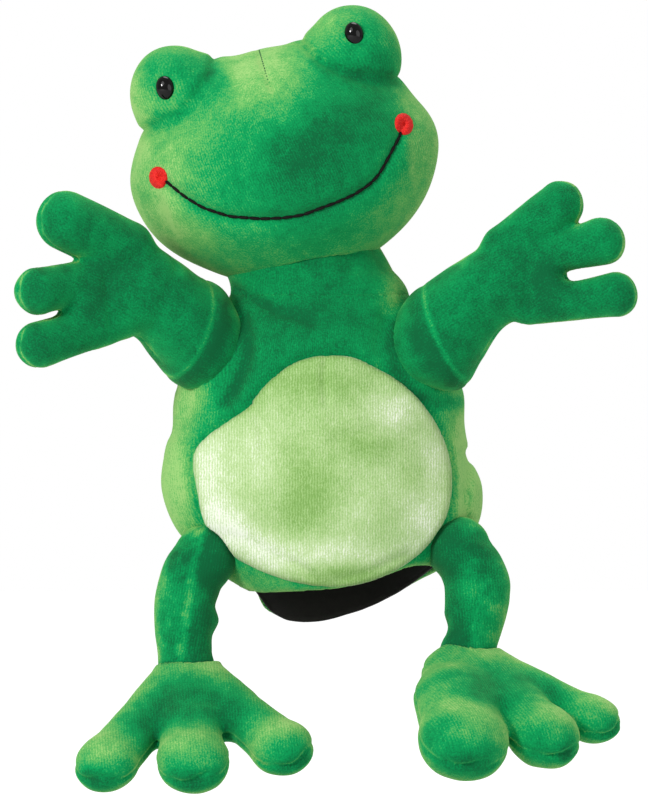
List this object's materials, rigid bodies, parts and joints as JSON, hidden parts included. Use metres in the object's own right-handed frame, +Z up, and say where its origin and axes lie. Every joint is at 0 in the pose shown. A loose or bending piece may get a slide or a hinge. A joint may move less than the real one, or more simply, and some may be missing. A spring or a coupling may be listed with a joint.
{
  "type": "frog hand puppet",
  "caption": "Plush frog hand puppet: open-bottomed lined glove body, sleeved arms, stuffed round head with eye turrets, dangling legs with webbed feet.",
  "frame": {"origin": "middle of the hand opening, in the plane of the glove's bottom hem", "axes": "+Z up the glove to the head, -Y towards the viewer, the way the frog faces; the frog's own right side lies at -X"},
  "size_m": [0.2457, 0.1332, 0.3124],
  "materials": {
    "plush_green": "soft short-pile velour",
    "plush_pale": "soft short-pile velour",
    "lining": "plain woven cloth",
    "thread_black": "embroidery thread",
    "thread_red": "embroidery thread",
    "eye_black": "polished",
    "washer_white": "moulded",
    "fibre": "loose fibre filling"
  },
  "bodies": {
    "glove": {"body_front": "plush_green", "body_back": "plush_green", "lining_front": "lining", "lining_back": "lining", "belly_patch": "plush_pale"},
    "neck": {"neck_collar": "plush_green"},
    "head": {"face_panel": "plush_green", "chin_panel": "plush_green", "head_back": "plush_green", "head_stuffing": "fibre", "head_finger_pocket": "lining", "mouth_thread": "thread_black", "right_cheek_dot": "thread_red", "left_cheek_dot": "thread_red", "right_turret_cover": "plush_green", "right_eye_washer": "washer_white", "right_turret_stuffing": "fibre", "right_eye": "eye_black", "left_turret_cover": "plush_green", "left_eye_washer": "washer_white", "left_turret_stuffing": "fibre", "left_eye": "eye_black"},
    "right_shoulder": {"right_shoulder_gusset": "plush_green"},
    "right_arm": {"right_arm_front": "plush_green", "right_arm_back": "plush_green", "right_hand_stuffing": "fibre"},
    "left_shoulder": {"left_shoulder_gusset": "plush_green"},
    "left_arm": {"left_arm_front": "plush_green", "left_arm_back": "plush_green", "left_hand_stuffing": "fibre"},
    "right_leg": {"right_leg_cover": "plush_green", "right_leg_stuffing": "fibre"},
    "right_foot": {"right_foot_upper": "plush_green", "right_foot_sole": "plush_green", "right_foot_stuffing": "fibre"},
    "left_leg": {"left_leg_cover": "plush_green", "left_leg_stuffing": "fibre"},
    "left_foot": {"left_foot_upper": "plush_green", "left_foot_sole": "plush_green", "left_foot_stuffing": "fibre"}
  },
  "joints": [
    {"name": "head_tilt", "type": "hinge", "parent": "glove", "child": "neck", "pos_m": [-0.0065, 0, 0.1135], "axis": [0, 1, 0], "range_deg": [-4, 24], "stiffness_Nm_per_rad": 0.15, "deforming": ["neck_collar"]},
    {"name": "head_nod", "type": "hinge", "parent": "neck", "child": "head", "pos_m": [-0.0065, 0, 0.1135], "axis": [0.977, 0, 0.213], "range_deg": [-12, 14], "stiffness_Nm_per_rad": 0.15},
    {"name": "right_arm_swing", "type": "hinge", "parent": "glove", "child": "right_shoulder", "pos_m": [-0.05488, -0.01427, 0.1047], "axis": [0, 1, 0], "range_deg": [-46, 8], "stiffness_Nm_per_rad": 0.08, "deforming": ["right_shoulder_gusset"]},
    {"name": "right_arm_clap", "type": "hinge", "parent": "right_shoulder", "child": "right_arm", "pos_m": [-0.05488, -0.01427, 0.1047], "axis": [0, 0, 1], "range_deg": [-8, 50], "stiffness_Nm_per_rad": 0.05},
    {"name": "left_arm_swing", "type": "hinge", "parent": "glove", "child": "left_shoulder", "pos_m": [0.04047, -0.0174, 0.1038], "axis": [0, 1, 0], "range_deg": [-8, 46], "stiffness_Nm_per_rad": 0.08, "deforming": ["left_shoulder_gusset"]},
    {"name": "left_arm_clap", "type": "hinge", "parent": "left_shoulder", "child": "left_arm", "pos_m": [0.04047, -0.0174, 0.1038], "axis": [0, 0, -1], "range_deg": [-8, 50], "stiffness_Nm_per_rad": 0.05},
    {"name": "right_leg_swing", "type": "hinge", "parent": "glove", "child": "right_leg", "pos_m": [-0.05095, -0.01562, 0.019], "axis": [-1, 0, 0], "range_deg": [-5, 60], "stiffness_Nm_per_rad": 0.04},
    {"name": "right_foot_flap", "type": "hinge", "parent": "right_leg", "child": "right_foot", "pos_m": [-0.0585, -0.025, -0.0265], "axis": [-0.996, -0.0135, -0.0883], "range_deg": [-25, 12], "stiffness_Nm_per_rad": 0.03},
    {"name": "left_leg_swing", "type": "hinge", "parent": "glove", "child": "left_leg", "pos_m": [0.04956, -0.01594, 0.022], "axis": [-1, 0, 0], "range_deg": [-5, 60], "stiffness_Nm_per_rad": 0.04},
    {"name": "left_foot_flap", "type": "hinge", "parent": "left_leg", "child": "left_foot", "pos_m": [0.053, -0.025, -0.021], "axis": [-0.8864, -0.4499, -0.1091], "range_deg": [-25, 12], "stiffness_Nm_per_rad": 0.03}
  ]
}
